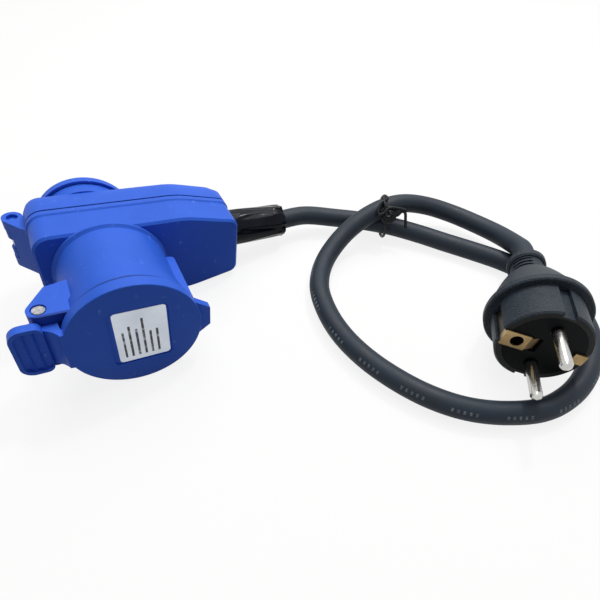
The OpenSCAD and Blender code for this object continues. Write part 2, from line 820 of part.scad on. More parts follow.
module cee_lid() {
    rim = 1.5;
    flute_w = (tab_right - tab_left - rim) / (rib_count + 1);
    flute_r = (flute_w * flute_w / 4 + scoop_depth * scoop_depth) / (2 * scoop_depth);
    flute_y = tab_back_y - tab_t - flute_r + scoop_depth;
    scoop_y = -tab_back_y + tab_t - scoop_depth;
    color(shell_blue) in_box() difference() {
        union() {
            to_back(-lid_face_y)
                rotate_extrude()
                    lid_profile(lid_r, lid_edge_r, lid_t, lid_face_y - mouth_y + skirt_over,
                        skirt_in);
            to_front(mouth_y - skirt_over)
                linear_extrude(lid_face_y - mouth_y + skirt_over - 1.8)
                    polygon([[lid_r - 2, 2 * nose_half_w], [lid_r + nose_out, nose_half_w],
                        [lid_r + nose_out, -nose_half_w], [lid_r - 2, -2 * nose_half_w]]);
            upright(lug_half_h)
                lid_arm_plan();
            translate([front_pin_x, front_pin_y, 0])
                upright(lug_half_h)
                    circle(r = lug_r);
            difference() {
                to_front(-tab_back_y)
                    linear_extrude(tab_t)
                        tab_outline(0);
                intersection() {
                    to_front(scoop_y)
                        linear_extrude(scoop_depth + 1)
                            tab_outline(rim);
                    for (i = [0 : rib_count])
                        translate([tab_left + rim + (i + 0.5) * flute_w, flute_y, 0])
                            upright(tab_half_h)
                                circle(r = flute_r);
                }
            }
        }
        translate([label_x - label_room / 2, 0, 0])
            to_front(lid_face_y - label_t - 0.3)
                linear_extrude(2)
                    rounded_plate(label_w + 1.6 + label_room, label_h + 1.6, 2);
        to_front(mouth_y - skirt_over - 5)
            cylinder(r = skirt_in, h = lid_back_y - mouth_y + skirt_over + 5);
        translate([front_pin_x, front_pin_y, 0]) {
            upright(tab_half_h + 1)
                circle(r = front_pin_r + run);
            upright(spring_room)
                circle(r = lug_r + 0.5);
            both_sides(lug_half_h, ear_top + 1)
                circle(r = ear_r + close_gap);
        }
    }
}

module lid_seal() {
    color("#15171a") in_box()
        to_front(mouth_y + close_gap)
            difference() {
                cylinder(r = band_r, h = lid_seal_h);
                translate([0, 0, -1])
                    cylinder(r = band_r - lid_seal_w, h = lid_seal_h + 2);
            }
}

module label_plate() {
    color("silver") in_box()
        translate([label_x, 0, 0])
            to_front(lid_face_y - label_t - 0.3)
                linear_extrude(label_t)
                    rounded_plate(label_w, label_h, 1.5);
}

module lid_pin() {
    color("silver") in_box()
        translate([front_pin_x, front_pin_y, 0])
            upright(ear_top - 0.2)
                circle(r = front_pin_r);
}

module lid_spring() {
    coil_r = front_pin_r + wire_r + 0.3;
    leg = -front_pin_x - band_r - wire_r - close_gap;
    color("gray") in_box()
        translate([front_pin_x, front_pin_y, 0])
            tube(spring_path(coil_r, spring_room - wire_r - 0.3, leg, -2.2), wire_r, 6, [0, 0, 1]);
}

// Plan of the back lid's arm, clear of the box's back edge and of the rim
module back_arm_plan() {
    skirt_x = cup_x - rim_r - 0.9;
    inner_x = cup_x - rim_r + 2;
    root_r = back_lug_r - 0.3;
    polygon([[back_pin_x, back_pin_y + back_lug_r], [skirt_x - 0.6, back_face_y - 0.8],
        [inner_x, back_face_y - 0.8], [inner_x, back_lid_y], [skirt_x, back_lid_y - 1.6],
        [skirt_x, rim_y - 2], [back_pin_x + root_r * cos(15), back_pin_y + root_r * sin(15)]]);
}

module schuko_lid() {
    skirt_in = rim_r + close_gap + 0.1;
    depth = back_face_y - rim_y + 1.4;
    color(shell_blue) in_box() difference() {
        union() {
            translate([cup_x, 0, 0]) {
                to_front(-back_face_y)
                    rotate_extrude()
                        lid_profile(back_lid_r, lid_edge_r, back_lid_t, depth, skirt_in);
                to_front(-back_face_y + 0.8)
                    linear_extrude(depth - 0.8)
                        polygon([[back_lid_r - 1.2, 8], [back_lid_r + 3, 5], [back_lid_r + 3, -5],
                            [back_lid_r - 1.2, -8]]);
            }
            upright(back_lug_half_h)
                back_arm_plan();
            translate([back_pin_x, back_pin_y, 0])
                upright(back_lug_half_h)
                    circle(r = back_lug_r);
        }
        translate([cup_x, 0, 0])
            to_back(back_depth)
                cylinder(r = skirt_in, h = back_lid_y - back_depth);
        translate([back_pin_x, back_pin_y, 0]) {
            upright(back_lug_half_h + 1)
                circle(r = back_pin_r + run);
            upright(back_room)
                circle(r = back_lug_r + 0.4);
        }
    }
}

module schuko_seal() {
    color("#15171a") in_box()
        translate([cup_x, 0, 0])
            to_back(rim_y + close_gap)
                difference() {
                    cylinder(r = rim_r, h = back_seal_h);
                    translate([0, 0, -1])
                        cylinder(r = cup_r + 0.4, h = back_seal_h + 2);
                }
}

module schuko_pin() {
    color("silver") in_box()
        translate([back_pin_x, back_pin_y, 0])
            upright(block_half_h - 1.5)
                circle(r = back_pin_r);
}

module schuko_spring() {
    coil_r = back_pin_r + wire_r + 0.3;
    color("gray") in_box()
        translate([back_pin_x, back_pin_y, 0])
            rotate([0, 0, 180])
                tube(spring_path(coil_r, back_room - wire_r - 0.2, 1.6, 1.6), wire_r, 6, [0, 0, 1]);
}

// Turned contact behind the cup's floor
module socket_contact(z) {
    r = pin_bore_r + sleeve_wall;
    tail = 1.6;
    end = pin_depth + 1;
    color("gold") in_box()
        translate([cup_x, 0, z])
            to_front(-cup_floor_y - cup_floor / 2 + fit)
                rotate_extrude()
                    polygon([[pin_bore_r, 0], [r, 0], [r, end], [tail_r, end], [tail_r, end + tail],
                        [0, end + tail], [0, pin_depth], [pin_bore_r, pin_depth]]);
}

module upper_socket_contact() {
    socket_contact(pin_half_gap);
}

module lower_socket_contact() {
    socket_contact(-pin_half_gap);
}

// Spring strap: a bar under the cup's floor and two arms that bulge into the cup
module earth_strap() {
    out = cup_r - 1.1;
    low = cup_floor_y - fit - strap_t;
    top = cup_floor_y + cup_floor + strap_arm;
    knee = top - strap_arm / 3;
    in = out - strap_t;
    side = [[out, low], [out, knee - 3], [out - 1.4, knee], [out, top], [in, top], [in - 1.4, knee],
        [in, knee - 3], [in, low + strap_t]];
    color("gold") in_box()
        translate([cup_x, 0, 0])
            upright(strap_w / 2)
                polygon(concat(side, [for (i = [len(side) - 1 : -1 : 0]) [-side[i].x, side[i].y]]));
}

module cable_clamp() {
    color("#1c2a66") in_box() difference() {
        translate([clamp_x, exit_y + fit, -clamp_half_w])
            cube([clamp_len, clamp_h, 2 * clamp_half_w]);
        translate([clamp_x - 1, exit_y, 0])
            rotate([0, 90, 0])
                cylinder(r = cable_r + fit, h = clamp_len + 2);
        for (z = [clamp_screw_z, -clamp_screw_z])
            translate([clamp_x + clamp_len / 2, 0, z]) {
                to_back(exit_y - 1)
                    cylinder(r = screw_r + fit, h = clamp_h + 2);
                to_back(exit_y + clamp_h - head_h)
                    cylinder(r = head_r + fit, h = head_h + 2);
            }
    }
}

module clamp_screws() {
    color("silver") in_box()
        for (z = [clamp_screw_z, -clamp_screw_z])
            translate([clamp_x + clamp_len / 2, 0, z])
                to_back(exit_y - screw_grip + 2)
                    screw(screw_grip - 2 + clamp_h - head_h);
}

// Shrink sleeve: a soft tube with shallow ripples and a rolled end
module shrink_sleeve() {
    len_all = shrink_end - shrink_start;
    bore = cable_r + fit;
    waves = 3;
    start = wall + 6;
    color("#101214") in_box()
        translate([shrink_start, exit_y, 0])
            rotate([0, 90, 0])
                rotate_extrude()
                    polygon(concat(
                        [[bore, 0], [shrink_r, 0], [shrink_r, start]],
                        [for (i = [1 : 2 * waves])
                            [shrink_r - (i % 2) * ripple, start + i * (len_all - start - 3) / (2 * waves)]],
                        [[shrink_r - ripple, len_all], [bore, len_all]]));
}

module cable() {
    color("#2b3038")
        tube(refined(route), cable_r, 12, [0, 0, 1]);
}

// Coated wire: one turn round both strands and two loose ends
function tie_point(across, along, up) =
    tie_middle + [cos(tie_heading) * along - sin(tie_heading) * across,
        sin(tie_heading) * along + cos(tie_heading) * across, up];

module twist_tie() {
    steps = 20;
    turn = [for (i = [0 : steps])
        let (a = 90 + 360 * i / steps)
        tie_point(tie_half_w * cos(a), tie_shift * (i / steps - 0.5), tie_half_h * sin(a))];
    first_end = [tie_point(6, -9, tie_half_h - 2.5), tie_point(3, -4.5, tie_half_h + 0.4)];
    last_end = [tie_point(-4, 3, tie_half_h - 0.4), tie_point(-7, 7, tie_half_h - 1.4),
        tie_point(-9, 12, tie_half_h - 2)];
    color("#0c0d0f")
        tube(concat(first_end, turn, last_end), tie_r, 8, tie_point(0, 1, 0.8) - tie_point(0, 0, 0));
}

// Half section of the moulded plug from its neck end to its face
module plug_profile() {
    shoulder = flange_z - 2;
    dome = [for (i = [0 : 10])
        let (t = i / 10)
        [neck_r + (flange_r - 2 - neck_r) * pow(t, 0.7), neck_len + (shoulder - neck_len) * t]];
    polygon(concat(
        [[0, 0], [neck_ring_r - 0.8, 0], [neck_ring_r, 0.8], [neck_ring_r, neck_ring_h - 0.8],
            [neck_ring_r - 0.8, neck_ring_h], [neck_r, neck_ring_h]],
        dome,
        [[flange_r, flange_z], [flange_r, flange_z + flange_t - 0.6], [flange_r - 0.6, flange_z + flange_t],
            [nose_r, groove_z], [nose_r, plug_len - 0.8], [nose_r - 0.8, plug_len], [bridge_r + fit, plug_len],
            [bridge_r + fit, bridge_z], [0, bridge_z]]));
}

module plug_body() {
    slot_pitch = (neck_len - neck_ring_h - 0.6) / slot_count;
    color("#23272e") in_plug() difference() {
        rotate_extrude()
            plug_profile();
        for (side = [0, 180])
            rotate([0, 0, side]) {
                translate([nose_r - groove_depth, -groove_w / 2, groove_z])
                    cube([10, groove_w, nose_len + 1]);
                rotate([0, 0, slot_turn])
                    for (i = [0 : slot_count - 1])
                        translate([neck_r - slot_depth, -neck_r, neck_ring_h + 0.8 + i * slot_pitch])
                            cube([neck_r, 2 * neck_r, slot_pitch / 2]);
                rotate([0, 0, 90])
                    translate([nose_r - side_slot, -leg_w / 2 - 0.5, groove_z + 1])
                        cube([10, leg_w + 1, nose_len]);
            }
    }
}

module plug_bridge() {
    color("#101113") in_plug() difference() {
        translate([0, 0, bridge_z])
            cylinder(r = bridge_r, h = bridge_depth);
        for (side = [1, -1])
            translate([side * pin_half_gap, 0, bridge_z - 1])
                cylinder(r = pin_root_r + fit, h = bridge_depth + 2);
        translate([0, -pin_half_gap - 2, bridge_z + 2])
            cylinder(r = earth_hole_r, h = bridge_depth);
        translate([-tongue_w / 2 - 0.5, -earth_foot_end - tongue_len, plug_len - tongue_drop - 1])
            cube([tongue_w + 1, tongue_len, tongue_drop + 2]);
    }
}

// Turned pin with a domed tip
module plug_pin(side) {
    tip = 1.6;
    color("gainsboro") in_plug()
        translate([side * pin_half_gap, 0, bridge_z])
            rotate_extrude()
                polygon([[0, 0], [pin_root_r, 0], [pin_root_r, bridge_depth], [plug_pin_r, bridge_depth],
                    [plug_pin_r, bridge_depth + plug_pin_len - tip],
                    [plug_pin_r - tip / 3, bridge_depth + plug_pin_len - tip / 3],
                    [plug_pin_r - tip, bridge_depth + plug_pin_len], [0, bridge_depth + plug_pin_len]]);
}

module upper_plug_pin() {
    plug_pin(-1);
}

module lower_plug_pin() {
    plug_pin(1);
}

// Bent earth strip: a leg in the side recess and a foot over the face
module earth_strip(foot_w, foot_end) {
    seat = nose_r - side_slot + fit;
    translate([-leg_w / 2, seat, groove_z + 2])
        cube([leg_w, strip_t, plug_len - groove_z - 2 + fit + strip_t]);
    translate([-foot_w / 2, foot_end, plug_len + fit])
        cube([foot_w, seat + strip_t - foot_end, strip_t]);
}

// The plate's inner end is bent down into a pocket of the face
module plug_earth_plate() {
    tongue_z = plug_len + fit;
    color("#b08d57") in_plug()
        difference() {
            rotate([0, 0, 180]) {
                earth_strip(earth_foot_w, earth_foot_end + tongue_len);
                translate([-tongue_w / 2, 0, 0])
                    rotate([90, 0, 90])
                        linear_extrude(tongue_w)
                            polygon([[earth_foot_end + tongue_len + 1, tongue_z],
                                [earth_foot_end + tongue_len + 1, tongue_z + strip_t],
                                [earth_foot_end + tongue_len, tongue_z + strip_t],
                                [earth_foot_end + 1, tongue_z + strip_t - tongue_drop],
                                [earth_foot_end + 1, tongue_z - tongue_drop],
                                [earth_foot_end + tongue_len, tongue_z]]);
            }
            translate([0, -pin_half_gap - 2, plug_len - 1])
                cylinder(r = earth_hole_r, h = 4);
        }
}

module plug_earth_clip() {
    color("#b08d57") in_plug()
        earth_strip(leg_w, clip_reach);
}

front_shell();
back_shell();
parting_seal();
shell_screws();
cee_collar();
contact_carrier();
line_contact();
neutral_contact();
earth_contact();
cee_lid();
lid_seal();
label_plate();
lid_pin();
lid_spring();
schuko_lid();
schuko_seal();
schuko_pin();
schuko_spring();
upper_socket_contact();
lower_socket_contact();
earth_strap();
cable_clamp();
clamp_screws();
shrink_sleeve();
cable();
twist_tie();
plug_body();
plug_bridge();
upper_plug_pin();
lower_plug_pin();
plug_earth_plate();
plug_earth_clip();
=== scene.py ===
import math

import bmesh
import bpy
import numpy as np
from mathutils import Matrix


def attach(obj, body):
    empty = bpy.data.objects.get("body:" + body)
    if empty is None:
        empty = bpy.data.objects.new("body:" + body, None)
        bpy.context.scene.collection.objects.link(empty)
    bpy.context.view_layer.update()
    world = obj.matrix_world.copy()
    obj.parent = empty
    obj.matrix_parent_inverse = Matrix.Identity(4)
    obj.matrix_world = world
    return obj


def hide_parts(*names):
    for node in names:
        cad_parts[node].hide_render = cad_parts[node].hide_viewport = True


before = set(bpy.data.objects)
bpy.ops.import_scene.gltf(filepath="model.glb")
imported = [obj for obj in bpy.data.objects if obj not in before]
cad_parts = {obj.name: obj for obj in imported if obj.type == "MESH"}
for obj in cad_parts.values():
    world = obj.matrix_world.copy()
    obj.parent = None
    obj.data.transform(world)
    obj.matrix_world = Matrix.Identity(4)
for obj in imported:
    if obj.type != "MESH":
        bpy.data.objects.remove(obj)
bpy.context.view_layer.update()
print("frame loaded:", len(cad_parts), "nodes")

mm = 0.001
scene = bpy.context.scene


def addObject(name, data):
    obj = bpy.data.objects.new(name, data)
    scene.collection.objects.link(obj)
    return obj


def poseOf(side, up, back, place):
    # the three axes and the place are the columns of the matrix
    pose = np.eye(4)
    pose[:3, 0], pose[:3, 1], pose[:3, 2], pose[:3, 3] = side, up, back, place
    return Matrix(pose.tolist())


# camera: where the photograph was taken from, in millimetres and radians
camera = {
    "position": (-15.86, -175.38, 168.26),
    "yaw": 0.4998,
    "pitch": -0.8923,
    "roll": 0.0253,
    "lens": 27.639,
    "sensor": 36.0,
    "shift": (-0.0263, 0.0619),
    "nearest": 10.0,
}


def addCamera(c):
    # forward from yaw and pitch, right level with the floor, both turned by the roll
    forward = np.array([
        math.sin(c["yaw"]) * math.cos(c["pitch"]),
        math.cos(c["yaw"]) * math.cos(c["pitch"]),
        math.sin(c["pitch"]),
    ])
    right = np.array([math.cos(c["yaw"]), -math.sin(c["yaw"]), 0.0])
    up = np.cross(right, forward)
    turn = c["roll"]
    tiltedRight = right * math.cos(turn) + up * math.sin(turn)
    tiltedUp = up * math.cos(turn) - right * math.sin(turn)
    data = bpy.data.cameras.new("photoCamera")
    data.sensor_width = c["sensor"]
    data.lens = c["lens"]
    data.shift_x, data.shift_y = c["shift"]
    data.clip_start = c["nearest"] * mm
    obj = addObject("photoCamera", data)
    obj.matrix_world = poseOf(tiltedRight, tiltedUp, -forward, np.array(c["position"]) * mm)
    scene.camera = obj


addCamera(camera)
print("camera set")


# node helpers for the finishes

def startFinish(name):
    mat = bpy.data.materials.new(name)
    mat.use_nodes = True
    tree = mat.node_tree
    return mat, tree, tree.nodes["Principled BSDF"]


def addNode(tree, kind, **values):
    node = tree.nodes.new("ShaderNode" + kind)
    for key, value in values.items():
        if key in node.inputs:
            node.inputs[key].default_value = value
        else:
            setattr(node, key, value)
    return node


def feed(tree, socket, value):
    # a socket takes a link, a number, or a colour that gets its alpha here
    if isinstance(value, bpy.types.NodeSocket):
        tree.links.new(value, socket)
    elif isinstance(value, (int, float)):
        socket.default_value = value
    else:
        socket.default_value = (*value, 1.0)


def objectCoords(tree):
    return addNode(tree, "TexCoord").outputs["Object"]


def axesOf(tree, vector):
    split = addNode(tree, "SeparateXYZ")
    tree.links.new(vector, split.inputs[0])
    return split.outputs


def noiseOf(tree, coords, scale, detail=3.0, roughness=0.55):
    node = addNode(tree, "TexNoise", Scale=scale, Detail=detail, Roughness=roughness)
    tree.links.new(coords, node.inputs["Vector"])
    return node.outputs["Fac"]


def rangeOf(tree, value, low, high, fromLow=0.3, fromHigh=0.7):
    # most of a noise lies between 0.3 and 0.7
    node = addNode(tree, "MapRange")
    tree.links.new(value, node.inputs["Value"])
    limits = {"From Min": fromLow, "From Max": fromHigh, "To Min": low, "To Max": high}
    for key, number in limits.items():
        node.inputs[key].default_value = number
    return node.outputs["Result"]


def mixOf(tree, factor, first, second):
    # a colour mix has its factor at input 0 and its colours at 6 and 7
    node = addNode(tree, "Mix", data_type="RGBA")
    for place, value in ((0, factor), (6, first), (7, second)):
        feed(tree, node.inputs[place], value)
    return node.outputs[2]


def mathOf(tree, operation, first, second=0.0):
    node = addNode(tree, "Math", operation=operation)
    feed(tree, node.inputs[0], first)
    feed(tree, node.inputs[1], second)
    return node.outputs[0]


def productOf(tree, first, *others):
    for other in others:
        first = mathOf(tree, "MULTIPLY", first, other)
    return first


def repeatOf(tree, value, pitch, share):
    # 1 in the first share of every pitch, 0 in the rest
    return mathOf(tree, "LESS_THAN", mathOf(tree, "FRACT", mathOf(tree, "DIVIDE", value, pitch)), share)


def awayFrom(tree, value, middle):
    return mathOf(tree, "ABSOLUTE", mathOf(tree, "SUBTRACT", value, middle))


def bumpOf(tree, bsdf, height, distance, strength=1.0):
    node = addNode(tree, "Bump", Strength=strength, Distance=distance)
    tree.links.new(height, node.inputs["Height"])
    tree.links.new(node.outputs["Normal"], bsdf.inputs["Normal"])


# a second colour past a plane, here painted shade: how far a point lies along the axis decides the mix
def pastPlane(tree, coords, facts, skin):
    along = addNode(tree, "VectorMath", operation="DOT_PRODUCT")
    tree.links.new(coords, along.inputs[0])
    along.inputs[1].default_value = facts["axis"]
    past = rangeOf(tree, along.outputs["Value"], 0.0, 1.0, facts["start"], facts["end"])
    return mixOf(tree, past, skin, facts["colour"])


# rare pale rubs: only the peaks of a fine noise show
def scuffs(tree, coords, facts, skin):
    rubs = noiseOf(tree, coords, facts["scale"], detail=5.0, roughness=0.7)
    rubbed = rangeOf(tree, rubs, 0.0, facts["most"], facts["from"], facts["to"])
    return mixOf(tree, rubbed, skin, facts["colour"])


# painted shade: a dark line round a piece, on points within half its width of the middle, measured along
# y
def shadeLine(tree, coords, facts, skin):
    away = awayFrom(tree, axesOf(tree, coords)["Y"], facts["middle"])
    onLine = rangeOf(tree, away, 1.0, 0.0, facts["core"] * facts["half"], facts["half"])
    return mixOf(tree, onLine, skin, facts["colour"])


# planes across the plug, along the way it faces or back from it, in metres
plugWay = (-0.622127, -0.775404, 0.108196)
plugBack = (0.622127, 0.775404, -0.108196)
# painted shade: the plug's face, past its plane, goes near black, as it faces away from the light
faceShade = {"axis": plugWay, "start": 0.0211, "end": 0.0213, "colour": (0.005, 0.0055, 0.006)}
# painted shade: the pins go near black at their roots, by the face
pinRootShade = {"axis": plugBack, "start": -0.0236, "end": -0.0220, "colour": (0.02, 0.02, 0.022)}
# painted shade: the brass goes dark in the earth groove, behind the face
grooveShade = {"axis": plugBack, "start": -0.0200, "end": -0.0188, "colour": (0.035, 0.027, 0.016)}

# the coupler's wear, and painted shade of the slit between the round lid's skirt and the collar
blueScuff = {"scale": 300.0, "from": 0.63, "to": 0.71, "most": 0.45, "colour": (0.20, 0.34, 0.80)}
skirtSlitShade = {"middle": -0.0358, "half": 0.0018, "core": 0.8, "colour": (0.012, 0.05, 0.30)}

couplerBlue = {
    "dark": (0.024, 0.102, 0.57), "light": (0.034, 0.124, 0.65), "rough": (0.40, 0.52),
    "specular": 0.13, "cloud": 35.0, "grain": 2600.0, "grainDepth": 0.00004, "speckle": 0.3,
    "scuff": blueScuff,
}
mouldedFinishes = {
    "blueMoulding": couplerBlue,
    # the collar's blue also carries the painted shade of the slit behind the lid's skirt
    "collarBlue": {**couplerBlue, "slitShade": skirtSlitShade},
    "sealRubber": {
        "dark": (0.004, 0.006, 0.03), "light": (0.006, 0.009, 0.045), "rough": (0.6, 0.7),
        "specular": 0.2, "cloud": 35.0, "grain": 900.0, "grainDepth": 0.00003, "speckle": 0.3,
    },
    "insertBlack": {
        "dark": (0.004, 0.0045, 0.005), "light": (0.007, 0.008, 0.009), "rough": (0.40, 0.54),
        "specular": 0.07, "cloud": 35.0, "grain": 1500.0, "grainDepth": 0.00003, "speckle": 0.3,
    },
    "plugBlack": {
        "dark": (0.006, 0.0095, 0.014), "light": (0.032, 0.045, 0.060), "rough": (0.42, 0.58),
        "specular": 0.2, "cloud": 60.0, "grain": 1600.0, "grainDepth": 0.00030, "speckle": 0.85,
        "plane": faceShade,
    },
    "tieCoating": {
        "dark": (0.004, 0.005, 0.006), "light": (0.007, 0.008, 0.010), "rough": (0.34, 0.44),
        "specular": 0.16, "cloud": 35.0, "grain": 900.0, "grainDepth": 0.00003, "speckle": 0.3,
    },
}


# moulded plastic: cloudy colour, fine spark-eroded grain, roughness that wanders a little
def mouldedFinish(name, c):
    mat, tree, bsdf = startFinish(name)
    coords = objectCoords(tree)
    clouds = noiseOf(tree, coords, c["cloud"])
    grains = noiseOf(tree, coords, c["grain"], detail=2.0, roughness=0.6)
    cloudPart = productOf(tree, clouds, 1.0 - c["speckle"])
    grainPart = productOf(tree, grains, c["speckle"])
    blotches = mathOf(tree, "ADD", cloudPart, grainPart)
    # two noises together spread less than one, hence the narrower range
    skin = mixOf(tree, rangeOf(tree, blotches, 0.0, 1.0, 0.35, 0.65), c["dark"], c["light"])
    for key, layer in (("plane", pastPlane), ("scuff", scuffs), ("slitShade", shadeLine)):
        if key in c:
            skin = layer(tree, coords, c[key], skin)
    tree.links.new(skin, bsdf.inputs["Base Color"])
    tree.links.new(rangeOf(tree, blotches, *c["rough"]), bsdf.inputs["Roughness"])
    bsdf.inputs["Specular IOR Level"].default_value = c["specular"]
    bumpOf(tree, bsdf, grains, c["grainDepth"])
    return mat


scratchDepth = 0.00002
metalFinishes = {
    "contactBrass": {
        "bright": (0.48, 0.37, 0.21), "dull": (0.24, 0.18, 0.10), "rough": (0.26, 0.45),
        "cloud": 120.0, "scratch": 2400.0,
    },
    "pinNickel": {
        "bright": (0.66, 0.66, 0.64), "dull": (0.44, 0.43, 0.41), "rough": (0.14, 0.3),
        "cloud": 120.0, "scratch": 3000.0, "plane": pinRootShade,
    },
    "plugBrass": {
        "bright": (0.47, 0.33, 0.16), "dull": (0.25, 0.17, 0.08), "rough": (0.28, 0.45),
        "cloud": 120.0, "scratch": 2400.0, "plane": grooveShade,
    },
    "platedSteel": {
        "bright": (0.46, 0.47, 0.47), "dull": (0.24, 0.24, 0.25), "rough": (0.34, 0.52),
        "cloud": 520.0, "scratch": 2600.0,
    },
    "wornSteel": {
        "bright": (0.30, 0.30, 0.31), "dull": (0.12, 0.12, 0.13), "rough": (0.36, 0.55),
        "cloud": 640.0, "scratch": 2600.0,
    },
}


# metal: tarnish in clouds, fine drawn scratches, and painted shade past a plane where one is given
def metalFinish(name, c):
    mat, tree, bsdf = startFinish(name)
    coords = objectCoords(tree)
    clouds = noiseOf(tree, coords, c["cloud"], detail=4.0)
    scratches = noiseOf(tree, coords, c["scratch"], detail=2.0)
    bsdf.inputs["Metallic"].default_value = 1.0
    skin = mixOf(tree, rangeOf(tree, clouds, 0.0, 1.0), c["bright"], c["dull"])
    if "plane" in c:
        skin = pastPlane(tree, coords, c["plane"], skin)
    tree.links.new(skin, bsdf.inputs["Base Color"])
    tree.links.new(rangeOf(tree, clouds, *c["rough"]), bsdf.inputs["Roughness"])
    bumpOf(tree, bsdf, scratches, scratchDepth, strength=0.5)
    return mat


# label plate: brushed foil with a few plain dark bars, rubbed thin in places
label = {
    "middle": (2.2, -60.0, 0.0),
    "size": (20.2, 27.4),
    "margin": 2.4,
    "barPitch": 2.6,
    "barWidth": 0.36,
    "shortest": -0.1,
    "barsLeft": 50.0,
    "ink": (0.03, 0.03, 0.035),
    "bright": (0.82, 0.88, 0.97),
    "dull": (0.68, 0.73, 0.82),
    "rough": (0.36, 0.48),
    "metal": 0.55,
    "cloud": 60.0,
    "brushing": 3000.0,
    "rubbing": 260.0,
    "inkLeft": (0.35, 1.0),
    "inkFrom": (0.36, 0.5),
}


def labelFinish(c):
    mat, tree, bsdf = startFinish("labelFoil")
    coords = objectCoords(tree)
    onPlate = addNode(tree, "Mapping", vector_type="TEXTURE")
    onPlate.inputs["Location"].default_value = tuple(float(x) for x in placed(c["middle"]) * mm)
    onPlate.inputs["Rotation"].default_value = (0.0, coupler["lean"], 0.0)
    onPlate.inputs["Scale"].default_value = (mm, mm, mm)
    tree.links.new(coords, onPlate.inputs["Vector"])
    axes = axesOf(tree, onPlate.outputs["Vector"])
    across, up = axes["X"], axes["Z"]
    # bars: every pitch across the plate one bar starts at the lower margin, each with its own length
    fromLeft = mathOf(tree, "ADD", across, c["barsLeft"] * c["barPitch"])
    onBar = repeatOf(tree, fromLeft, c["barPitch"], c["barWidth"])
    chance = addNode(tree, "TexWhiteNoise", noise_dimensions="1D")
    barNumber = mathOf(tree, "FLOOR", mathOf(tree, "DIVIDE", fromLeft, c["barPitch"]))
    tree.links.new(barNumber, chance.inputs["W"])
    low = 0.5 * c["size"][1] - c["margin"]
    top = rangeOf(tree, chance.outputs["Value"], c["shortest"] * low, low, 0.0, 1.0)
    aboveLow = mathOf(tree, "GREATER_THAN", up, -low)
    belowTop = mathOf(tree, "LESS_THAN", up, top)
    halfWidth = 0.5 * c["size"][0] - c["margin"]
    inWidth = mathOf(tree, "LESS_THAN", mathOf(tree, "ABSOLUTE", across), halfWidth)
    rubs = noiseOf(tree, coords, c["rubbing"], detail=5.0, roughness=0.7)
    wear = rangeOf(tree, rubs, *c["inkLeft"], *c["inkFrom"])
    ink = productOf(tree, onBar, aboveLow, belowTop, inWidth, wear)
    clouds = noiseOf(tree, coords, c["cloud"], detail=4.0)
    foil = mixOf(tree, rangeOf(tree, clouds, 0.0, 1.0), c["bright"], c["dull"])
    tree.links.new(mixOf(tree, ink, foil, c["ink"]), bsdf.inputs["Base Color"])
    bare = mathOf(tree, "SUBTRACT", c["metal"], productOf(tree, ink, c["metal"]))
    tree.links.new(bare, bsdf.inputs["Metallic"])
    tree.links.new(rangeOf(tree, clouds, *c["rough"]), bsdf.inputs["Roughness"])
    bumpOf(tree, bsdf, noiseOf(tree, coords, c["brushing"], detail=2.0), scratchDepth, strength=0.5)
    return mat


# shiny shrink sleeve: thin gloss with a greasy film in clouds
sleeveSkin = {
    "clean": (0.002, 0.0035, 0.007),
    "greasy": (0.005, 0.008, 0.014),
    "rough": (0.07, 0.15),
    "specular": 0.1,
    "film": 140.0,
    "ripple": 420.0,
    "rippleDepth": 0.00010,
}


def sleeveFinish(c):
    mat, tree, bsdf = startFinish("sleeveGloss")
    coords = objectCoords(tree)
    film = noiseOf(tree, coords, c["film"], detail=4.0)
    ripples = noiseOf(tree, coords, c["ripple"], detail=2.0)
    skin = mixOf(tree, rangeOf(tree, film, 0.0, 1.0), c["clean"], c["greasy"])
    tree.links.new(skin, bsdf.inputs["Base Color"])
    tree.links.new(rangeOf(tree, film, *c["rough"]), bsdf.inputs["Roughness"])
    bsdf.inputs["Specular IOR Level"].default_value = c["specular"]
    bumpOf(tree, bsdf, ripples, c["rippleDepth"], strength=0.5)
    return mat


# cable rubber: matt, drawn lines along its length, dust in clouds, and a faded row of plain ticks
cableSkin = {
    "clean": (0.0085, 0.0145, 0.0235),
    "dusty": (0.0155, 0.0245, 0.039),
    "rough": (0.46, 0.62),
    "specular": 0.28,
    "dust": 90.0,
    "grain": 1800.0,
    "lineStretch": (12.0, 55.0, 1.0),
    "lineShare": 0.6,
    "depth": 0.00010,
    "tickColour": (0.26, 0.30, 0.34),
    "tickPlace": 0.405,
    "tickHalf": 0.025,
    "tickPitch": 0.0023,
    "tickShare": 0.42,
    "groupPitch": 0.021,
    "groupShare": 0.55,
    "fading": 700.0,
    "tickLeft": (0.15, 0.7),
}


